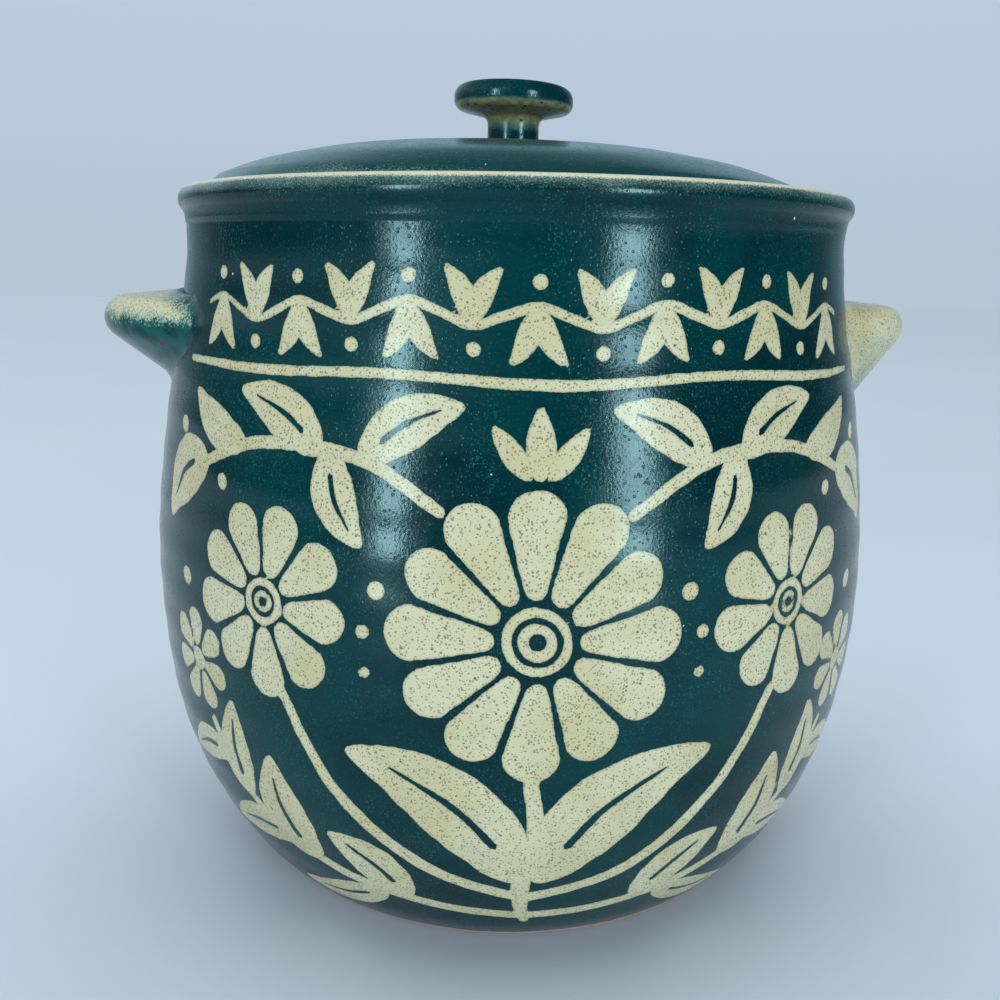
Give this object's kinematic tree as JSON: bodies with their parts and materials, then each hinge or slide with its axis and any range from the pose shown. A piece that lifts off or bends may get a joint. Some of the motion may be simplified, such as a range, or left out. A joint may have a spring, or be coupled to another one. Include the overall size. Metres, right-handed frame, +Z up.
{
  "type": "lidded stoneware crock",
  "caption": "Round-bellied glazed stoneware crock for steeping fruit, with a rolled rim, half-moon lugs and a domed lid with a mushroom knob that seats inside the rim.",
  "frame": {"origin": "on the axis of the pot, at the table it stands on", "axes": "+Z up along the axis of the pot; X through the two lugs, +X to the right as seen from the decorated front; the front faces -Y"},
  "size_m": [0.267, 0.2374, 0.2547],
  "materials": {
    "green_glaze": "deep teal green gloss glaze, breaking to speckled cream on edges",
    "cream_glaze": "warm cream gloss glaze with fine dark brown speckle",
    "bare_clay": "unglazed buff stoneware on the foot"
  },
  "bodies": {
    "pot": {"pot_body": "green_glaze", "left_lug_handle": "cream_glaze", "right_lug_handle": "cream_glaze"},
    "lid": {"lid_shell": "green_glaze", "lid_knob": "green_glaze"}
  },
  "joints": [
    {"name": "lid_lift", "type": "slide", "parent": "pot", "child": "lid", "axis": [0, 0, 1], "range_m": [0, 0.09]}
  ]
}
